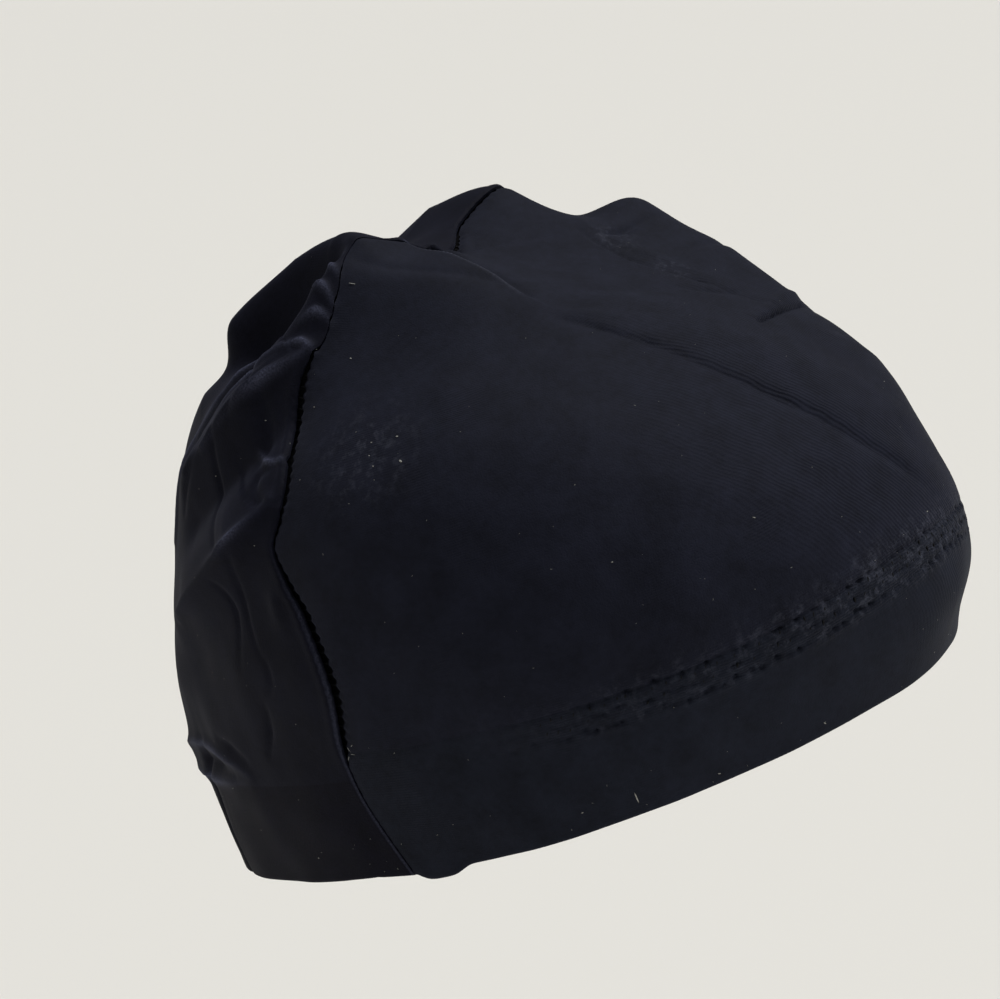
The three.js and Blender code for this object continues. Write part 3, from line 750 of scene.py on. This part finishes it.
def knit_material(name, colour, pale, sheen):
    """Matte knit with courses and wales that show in patches and beside the stitches, a slightly uneven
    dye, and a short nap that pales where it is seen edge on."""
    material = bpy.data.materials.new(name)
    material.use_nodes = True
    tree = material.node_tree
    shader = tree.nodes["Principled BSDF"]
    place = add_node(tree, "ShaderNodeTexCoord").outputs["Object"]
    lay = add_node(tree, "ShaderNodeUVMap", uv_map=LAY)
    stitched = add_node(tree, "ShaderNodeAttribute", attribute_name=STITCHED).outputs["Fac"]
    # The share of painted highlight over crests and along the back cloth's edge
    crest_highlight_share = add_node(tree, "ShaderNodeAttribute", attribute_name=PAINTED_HIGHLIGHT).outputs["Fac"]
    across_along = add_node(tree, "ShaderNodeSeparateXYZ", {0: lay})

    # Lines wander by about a millimetre over 12 mm, as pulled cloth does
    wander = noise(tree, lay, 12.5, 2)
    lines = []
    for axis, pitch, pull in ((1, COURSE_PITCH, 2.5), (0, WALE_PITCH, 4.0)):
        moved = worked_out(tree, "MULTIPLY_ADD", wander, pull, across_along.outputs[axis])
        turned = worked_out(tree, "MULTIPLY", moved, 2 * math.pi / pitch)
        lines.append(worked_out(tree, "SINE", turned))

    def nearness(angle, level, inner, outer, most):
        """Falls from most to nothing between two distances from a place on the cap."""
        spot = tuple(dome(math.radians(angle), level) * MM)
        distance = add_node(tree, "ShaderNodeVectorMath", {0: place, 1: spot}, operation="DISTANCE")
        return ranged(tree, distance.outputs["Value"], inner, outer, most, 0)

    tight = nearness(*TIGHT_PLACE, 0.3 * TIGHT_RADIUS, TIGHT_RADIUS, 1.2)
    wales = worked_out(tree, "MULTIPLY", lines[1], tight)

    # The loops show in patches of about 20 mm, and most beside the stitches
    clear = ranged(tree, noise(tree, place, 20.83 * MM, 2), 0.5, 0.75, 0.05, 0.4)
    shown = worked_out(tree, "MULTIPLY_ADD", stitched, 1.1, clear)
    courses = worked_out(tree, "MULTIPLY", lines[0], shown)
    knit = worked_out(tree, "ADD", courses, wales)
    # Loose filaments, about 0.4 mm, and the crimped cloth between the needle holes, about 1.3 mm
    grain = noise(tree, place, 0.4167 * MM, 2)
    rough = worked_out(tree, "MULTIPLY_ADD", grain, 2.0, knit)
    crimped = worked_out(tree, "MULTIPLY", noise(tree, place, 1.25 * MM, 3), stitched)
    height = worked_out(tree, "MULTIPLY_ADD", crimped, 18.0, rough)
    bump = add_node(tree, "ShaderNodeBump", {"Strength": 1.0, "Distance": KNIT_DEPTH, "Height": height})
    tree.links.new(bump.outputs["Normal"], shader.inputs["Normal"])

    # Uneven dye in patches of about 8 mm and in specks of 1.6 mm, with the loops a little paler
    mottle = noise(tree, place, 7.692 * MM, 4)
    flecks = noise(tree, place, 1.613 * MM, 3, 0.65)
    speckled = worked_out(tree, "MULTIPLY_ADD", flecks, 0.8, mottle)
    dye = ranged(tree, speckled, 0.55, 1.25, 0, 1)
    tone = worked_out(tree, "MULTIPLY_ADD", knit, 0.16, dye)
    dark, light = (tuple(k * c for c in linear(colour)[:3]) + (1.0,) for k in (0.65, 1.35))
    cloth = add_node(tree, "ShaderNodeMix", {0: tone, 6: dark, 7: light}, data_type="RGBA").outputs[2]

    # Scuffs and a painted highlight on a crease's edge, and knots beside the stitches, where broken filaments
    # stand up pale, 2 to 3 mm apart
    raised = ranged(tree, noise(tree, place, 2.381 * MM, 5, 0.75), 0.5, 0.8, 0, 1)
    knotted = worked_out(tree, "MULTIPLY", stitched, raised)
    scuffs_and_highlight = worked_out(tree, "MULTIPLY", knotted, 0.24)
    for angle, level, radius, most in SCUFFS_AND_HIGHLIGHT:
        near = nearness(angle, level, 0.2 * radius, radius, most)
        scuffs_and_highlight = worked_out(tree, "MULTIPLY_ADD", near, raised, scuffs_and_highlight)
    # Painted highlights in streaks along the crests of sharp folds and along the back cloth's edge by the
    # seam
    streaks = ranged(tree, grain, 0.3, 0.75, 0.1, 0.38)
    highlights_and_scuffs = worked_out(tree, "MULTIPLY_ADD", crest_highlight_share, streaks, scuffs_and_highlight)
    worn_and_highlighted = add_node(tree, "ShaderNodeMix", {0: highlights_and_scuffs, 6: cloth, 7: linear(pale)}, data_type="RGBA")
    tree.links.new(worn_and_highlighted.outputs[2], shader.inputs["Base Color"])

    shader.inputs["Roughness"].default_value = 0.75
    shader.inputs["Specular IOR Level"].default_value = 0.08
    shader.inputs["Sheen Weight"].default_value = sheen
    shader.inputs["Sheen Roughness"].default_value = 0.45
    shader.inputs["Sheen Tint"].default_value = linear(pale)
    return material


def plain_material(name, colour, roughness, specular):
    """One even colour."""
    material = bpy.data.materials.new(name)
    material.use_nodes = True
    shader = material.node_tree.nodes["Principled BSDF"]
    shader.inputs["Base Color"].default_value = linear(colour)
    shader.inputs["Roughness"].default_value = roughness
    shader.inputs["Specular IOR Level"].default_value = specular
    return material


# Blue-black dye on matte nylon, drawn smooth over the forehead
front_knit = knit_material("nylon warp knit, dyed and heat set", "#161823", "#9094a8", 0.08)
# The same cloth behind the seam, made darker than the front as painted shade, for the back cloth lies turned
# from the light
back_knit = knit_material("nylon warp knit, darkened as painted shade", "#0d0e19", "#8489a8", 0.08)
# The turned-in edges behind the groove, painted near black as painted shade for the deep groove
groove_shade_knit = knit_material("nylon warp knit, painted black as the groove's shade", "#08080b", "#9094a8", 0)
# The same cloth folded double and pressed, so that its nap lies flat and its edges pale less
hem_knit = knit_material("nylon warp knit, folded and pressed", "#161923", "#9094a8", 0.05)
# Drawn into gathers by its elastic, so that its loops stand close; darker than the front cloth, partly from
# those close loops and partly as painted shade, for the nape lies turned from the light
nape_knit = knit_material("nylon warp knit, gathered over elastic", "#090914", "#8489a8", 0.05)
# Twisted filaments catch small lights that the flat knit does not
sewing_thread = plain_material("polyester sewing thread, twisted and dyed", "#090a0d", 0.7, 0.12)
# Dry matt fibres, pale against the black
lint_fibre = plain_material("cotton lint, loose fibres", "#94948f", 0.9, 0.12)


def beads_tree():
    """Geometry Nodes: a seed-shaped bead on each point, its length along one attribute and its flat side
    across another, each side scaled by the point's own size."""
    tree = bpy.data.node_groups.new("beads on points", "GeometryNodeTree")
    for name, kind in (("Points", "Geometry"), ("Length", "Float"), ("Width", "Float"), ("Height", "Float"),
                       ("Unevenness", "Float"), ("Seed", "Int"), ("Finish", "Material")):
        tree.interface.new_socket(name, in_out="INPUT", socket_type="NodeSocket" + kind)
    tree.interface.new_socket("Beads", in_out="OUTPUT", socket_type="NodeSocketGeometry")
    given = add_node(tree, "NodeGroupInput").outputs
    bead = add_node(tree, "GeometryNodeMeshUVSphere", {"Segments": 6, "Rings": 4, "Radius": 0.5})
    smooth = add_node(tree, "GeometryNodeSetShadeSmooth", {"Geometry": bead})
    along, away, size = (
        add_node(tree, "GeometryNodeInputNamedAttribute", {"Name": name}, data_type="FLOAT_VECTOR")
        for name in ("along", "away", "size")
    )
    turn = add_node(tree, "FunctionNodeAxesToRotation", {0: along, 1: away},
                    primary_axis="X", secondary_axis="Z")
    least = worked_out(tree, "SUBTRACT", 1.0, given["Unevenness"])
    most = worked_out(tree, "ADD", 1.0, given["Unevenness"])
    chance = add_node(tree, "FunctionNodeRandomValue", {2: least, 3: most, "Seed": given["Seed"]},
                      data_type="FLOAT")
    length = worked_out(tree, "MULTIPLY", given["Length"], chance.outputs[1])
    extent = add_node(tree, "ShaderNodeCombineXYZ", {0: length, 1: given["Width"], 2: given["Height"]})
    scale = add_node(tree, "ShaderNodeVectorMath", {0: extent, 1: size}, operation="MULTIPLY")
    strewn = add_node(tree, "GeometryNodeInstanceOnPoints", {
        "Points": given["Points"], "Instance": smooth, "Rotation": turn, "Scale": scale})
    real = add_node(tree, "GeometryNodeRealizeInstances", {"Geometry": strewn})
    finished = add_node(tree, "GeometryNodeSetMaterial", {"Geometry": real, "Material": given["Finish"]})
    add_node(tree, "NodeGroupOutput", {0: finished})
    return tree


beads = beads_tree()


def plain_mesh(name, shaped):
    """The finished shape of a modified or curved object as a plain mesh object in its place."""
    evaluated = shaped.evaluated_get(bpy.context.evaluated_depsgraph_get())
    mesh = bpy.data.meshes.new_from_object(evaluated)
    mesh.name = name
    bpy.data.objects.remove(shaped)
    return placed(name, mesh)


def beaded(name, places, along, away, sizes, inputs):
    """Beads at the places, in millimetres, shaped by the tree's named inputs."""
    mesh = bpy.data.meshes.new(name + " points")
    mesh.from_pydata((places * MM).tolist(), [], [])
    for attribute, vectors in (("along", along), ("away", away), ("size", sizes)):
        values = np.ascontiguousarray(vectors, np.float32).ravel()
        mesh.attributes.new(attribute, "FLOAT_VECTOR", "POINT").data.foreach_set("vector", values)
    holder = placed(name + " points", mesh)
    modifier = holder.modifiers.new("beads", "NODES")
    modifier.node_group = beads
    sockets = {item.name: item.identifier for item in beads.interface.items_tree if item.in_out == "INPUT"}
    for socket, value in inputs.items():
        modifier[sockets[socket]] = value
    return plain_mesh(name, holder)


def frame_on_cap(angle, level):
    """The place on the cap's face, the way out of it, the way round and the way up, at each point."""
    place, outward = cap(angle, level), dome_outward(angle, level)
    round_about = unit(cap(angle + 0.01, level) - cap(angle - 0.01, level))
    return place, outward, round_about, unit(np.cross(round_about, outward))


def seam_threads():
    """The threads that bridge the groove between the panels, on both sides of the head."""
    distances = np.arange(THREAD_PITCH / 2, seam_distance[-1], THREAD_PITCH)
    level = np.interp(distances, seam_distance, seam_levels)
    groups = []
    for turn, side in ((1, "right"), (-1, "left")):
        place, outward, across, _ = frame_on_cap(turn * seam_angle(level, side), level)
        sizes = np.ones((len(level), 3))
        sizes[:, 0] = THREAD_OVERLAP + 2 * groove(level, side)
        groups.append((place - outward * THREAD_DEPTH, across, outward, sizes))
    places, along, away, sizes = (np.concatenate(parts) for parts in zip(*groups))
    return beaded("seam_stitches", places, along, away, sizes, {
        "Length": MM, "Width": THREAD_WIDTH * MM, "Height": THREAD_WIDTH * MM,
        "Unevenness": 0.12, "Seed": 3, "Finish": sewing_thread})


def band_threads():
    """The zigzag of stitches beside the front band's top, from each needle hole to the next row's."""
    starts, ends, sizes = [], [], []
    for (low, _, here, lifts, _), (high, _, there, rises, _) in zip(hole_rows, hole_rows[1:]):
        for k in range(len(here)):
            starts.append((here[k] * STITCH_PITCH, low + lifts[k]))
            ends.append((there[k] * STITCH_PITCH, high + rises[k]))
    starts, ends = np.array(starts), np.array(ends)
    middle = (starts + ends) / 2
    angle = np.interp(middle[:, 0], band_distance, band_angles)
    before_seam = np.abs(middle[:, 0]) < band_distance[-1] - STITCH_PITCH
    seen = (stitched_share(angle) > STITCH_SHOWS) & before_seam
    angle, middle, run = angle[seen], middle[seen], (ends - starts)[seen]
    level = band_top(angle) + level_for(middle[:, 1])
    place, outward, round_about, up = frame_on_cap(angle, level)
    along = unit(round_about * run[:, :1] + up * run[:, 1:])
    sizes = np.ones((len(angle), 3)) * (0.6 + 0.4 * stitched_share(angle))[:, None]
    return beaded("band_stitches", place - outward * 0.02, along, outward, sizes, {
        "Length": BIGHT_LENGTH * MM, "Width": BIGHT_WIDTH * MM, "Height": BIGHT_WIDTH * MM,
        "Unevenness": 0.25, "Seed": 4, "Finish": sewing_thread})


# Lint that the photo shows: its place, length and width in millimetres, and its turn from level in degrees
Lint = namedtuple("Lint", "angle level length width turn")
LINT = [Lint(*row) for row in (
    (74, .672, .55, .35, 0), (73, .633, .7, .45, 40), (79, .666, .4, .25, 0), (78, .629, .35, .3, 0),
    (95, .722, .4, .25, 0), (89, .791, .6, .3, 20), (107, .697, .4, .25, 0), (118, .612, .4, .25, 0),
    (92, .863, 1.8, .22, -30), (53, .031, 2.7, .28, 92), (-1, .268, .5, .3, 0), (-20, .487, .5, .25, 0),
    (28, .404, .7, .2, 30), (26, .021, .9, .22, 50), (42, .019, .6, .25, 20), (60, .036, .5, .25, 0),
    (48, .410, .5, .22, 0), (79, .646, .4, .2, 0), (101, .04, .5, .3, 0), (100, .52, .4, .2, 0),
    (88.6, .200, 1.3, .13, 70), (88.2, .192, 1.2, .12, 10), (89.0, .186, 1.4, .13, 120),
    (88.0, .206, .9, .12, -40),
)]
DUST_COUNT = 220
LINT_LIFT = 0.03


def lint_specks():
    """The lint of the table, and finer dust strewn with a fixed seed, most of it near the hem."""
    draw = np.random.default_rng(17)
    strewn = [
        Lint(draw.uniform(-110, 130), draw.uniform(0, 1) ** 1.7 * 0.9 + 0.01, draw.uniform(0.1, 0.5),
             draw.uniform(0.06, 0.11), draw.uniform(-90, 90))
        for _ in range(DUST_COUNT)
    ]
    angle, level, length, width, turn = np.array(LINT + strewn).T
    place, outward, round_about, up = frame_on_cap(np.radians(angle), level)
    turn = np.radians(turn)[:, None]
    along = round_about * np.cos(turn) + up * np.sin(turn)
    sizes = np.stack([length, width, 0.5 * width], -1)
    return beaded("lint", place + outward * LINT_LIFT, along, outward, sizes, {
        "Length": MM, "Width": MM, "Height": MM, "Unevenness": 0.2, "Seed": 5, "Finish": lint_fibre})


front_cloth = panel("front_cloth", False, front_span, band_top, front_crease, 295, 241, 0.3, front_relief)
back_cloth = panel("back_cloth", True, back_span, nape_top, nape_crease, 295, 241, -0.3, back_relief)
front_hem = band("front_hem", False, front_span, band_top, front_crease, 481, 61, 0.3, front_relief)
nape_hem = band("nape_hem", True, back_span, nape_top, nape_crease, 421, 35, -0.3, nape_relief)
seam_allowance = turned_in_cloth("seam_allowance")
seam_stitches = seam_threads()
band_stitches = band_threads()
lint = lint_specks()

for piece, node, slot, finish in (
    (front_cloth, "front_panel", "front_knit", front_knit),
    (back_cloth, "back_panel", "back_knit", back_knit),
    (front_hem, "front_band", "band_knit", hem_knit),
    (nape_hem, "nape_band", "nape_knit", nape_knit),
    (seam_allowance, None, "front_knit", groove_shade_knit),
    (seam_stitches, None, "front_knit", None),
    (band_stitches, None, "band_knit", None),
    (lint, None, "front_knit", None),
):
    if finish:
        piece.data.materials.append(finish)
    if node:
        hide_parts(node)
    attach(piece, "root")

# Camera at the photo's angle
CAMERA_AZIMUTH, CAMERA_ELEVATION, CAMERA_ROLL = -54, 18, 5
CAMERA_DISTANCE = 0.46
CAMERA_TARGET = Vector((-0.020, -0.020, -0.0523))
FOCAL_SHARE = 2.047

azimuth, elevation, roll = (math.radians(v) for v in (CAMERA_AZIMUTH, CAMERA_ELEVATION, CAMERA_ROLL))
towards_camera = Vector((
    math.sin(azimuth) * math.cos(elevation), -math.cos(azimuth) * math.cos(elevation), math.sin(elevation)
))
level_right = Vector((0, 0, 1)).cross(towards_camera).normalized()
level_up = towards_camera.cross(level_right)
right = math.cos(roll) * level_right - math.sin(roll) * level_up
up = math.sin(roll) * level_right + math.cos(roll) * level_up
lens = bpy.data.cameras.new("camera")
lens.sensor_width = 36
lens.lens = lens.sensor_width * FOCAL_SHARE
camera = placed("camera", lens)
camera.matrix_world = (
    Matrix.Translation(CAMERA_TARGET + towards_camera * CAMERA_DISTANCE)
    @ Matrix((right, up, towards_camera)).transposed().to_4x4()
)
bpy.context.scene.camera = camera

# Pale floor, well below the cap and far wider than the picture
FLOOR_Z, FLOOR_HALF = -0.30, 9
floor_corners = [(x * FLOOR_HALF, y * FLOOR_HALF, FLOOR_Z) for x, y in ((-1, -1), (1, -1), (1, 1), (-1, 1))]
floor_mesh = bpy.data.meshes.new("floor")
floor_mesh.from_pydata(floor_corners, [], [(0, 1, 2, 3)])
floor_mesh.materials.append(plain_material("pale floor", "#dedcd6", 0.9, 0.5))
floor = placed("floor", floor_mesh)

# Soft light from above and from the forehead's side. Each lamp's way is how far it lies to the camera's
# right, towards the camera and up. Its spread is an angle in degrees for a sun, and metres for an area.
above = Vector((0, 0, 1))
level_towards = level_right.cross(above)
for kind, name, way, distance, energy, spread in (
    ("SUN", "key light", (0.3, -0.15, 0.9), 2, 3.0, 35),
    ("SUN", "front light", (0.7, 0.8, 0.03), 2, 0.5, 40),
    ("AREA", "low light", (0.30, 0.24, -0.19), 0.44, 0.36, 0.3),
    ("SUN", "rim light", (-1.0, 0.05, 0.35), 2, 0.25, 40),
):
    light = bpy.data.lights.new(name, kind)
    light.energy = energy
    if kind == "SUN":
        light.angle = math.radians(spread)
    else:
        light.size = spread
    direction = way[0] * level_right + way[1] * level_towards + way[2] * above
    lamp = placed(name, light)
    lamp.location = CAMERA_TARGET + direction.normalized() * distance
    lamp.rotation_euler = direction.to_track_quat("Z", "Y").to_euler()
world = bpy.data.worlds.new("room")
world.use_nodes = True
world.node_tree.nodes["Background"].inputs["Color"].default_value = linear("#f4f2ee")
world.node_tree.nodes["Background"].inputs["Strength"].default_value = 0.14
bpy.context.scene.world = world
bpy.context.scene.view_settings.view_transform = "Standard"
